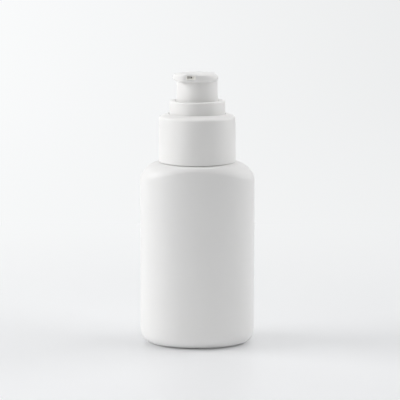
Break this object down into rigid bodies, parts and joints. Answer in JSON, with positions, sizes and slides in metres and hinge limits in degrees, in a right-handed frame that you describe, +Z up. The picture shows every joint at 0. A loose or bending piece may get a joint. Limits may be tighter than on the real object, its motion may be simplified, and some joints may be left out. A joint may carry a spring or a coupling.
{
  "type": "lotion pump bottle",
  "caption": "White oval bottle with a screw-on lotion pump: push-down head with a short spout, tiered collar and dip tube.",
  "frame": {"origin": "centre of the bottle's standing base, on the surface that it stands on", "axes": "+Z up along the pump's axis, +X along the bottle's wide side, -Y towards the pictured front"},
  "size_m": [0.0426, 0.0314, 0.1014],
  "materials": {
    "bottle_white": "satin",
    "collar_white": "satin",
    "natural_plastic": "semi-gloss",
    "soft_seal": "matte",
    "bright_steel": "bright"
  },
  "bodies": {
    "bottle": {"bottle": "bottle_white"},
    "neck_gasket": {"neck_gasket": "soft_seal"},
    "pump_body": {"pump_housing": "natural_plastic", "stem_guide": "natural_plastic", "dip_tube": "natural_plastic", "return_spring": "bright_steel"},
    "closure": {"screw_closure": "collar_white", "collar_shell": "collar_white"},
    "inlet_ball": {"inlet_ball": "bright_steel"},
    "stem": {"stem": "natural_plastic", "stem_plug": "natural_plastic"},
    "piston": {"piston": "soft_seal"},
    "actuator": {"actuator_cover": "collar_white", "nozzle_core": "collar_white"}
  },
  "joints": [
    {"name": "pump_lift_off", "type": "slide", "parent": "bottle", "child": "neck_gasket", "axis": [0, 0, 1], "range_m": [0, 0.08]},
    {"name": "closure_rise", "type": "slide", "parent": "neck_gasket", "child": "pump_body", "axis": [0, 0, 1], "range_m": [0, 0.0048]},
    {"name": "closure_turn", "type": "hinge", "parent": "pump_body", "child": "closure", "pos_m": [0, 0, 0.0765], "axis": [0, 0, 1], "range_deg": [0, 540]},
    {"name": "pump_stroke", "type": "slide", "parent": "pump_body", "child": "stem", "axis": [0, 0, -1], "range_m": [0, 0.005], "stiffness_N_per_m": 900, "springref_m": -0.004, "deforming": ["return_spring"]},
    {"name": "piston_slip", "type": "slide", "parent": "stem", "child": "piston", "axis": [0, 0, 1], "range_m": [0, 0.0005]},
    {"name": "ball_lift", "type": "slide", "parent": "pump_body", "child": "inlet_ball", "axis": [0, 0, 1], "range_m": [0, 0.001]},
    {"name": "actuator_turn", "type": "hinge", "parent": "stem", "child": "actuator", "pos_m": [0, 0, 0.095], "axis": [0, 0, 1], "continuous": true}
  ],
  "couplings": [
    {"joint": "closure_rise", "follows": "closure_turn", "m_per_rad": 0.00050532}
  ]
}
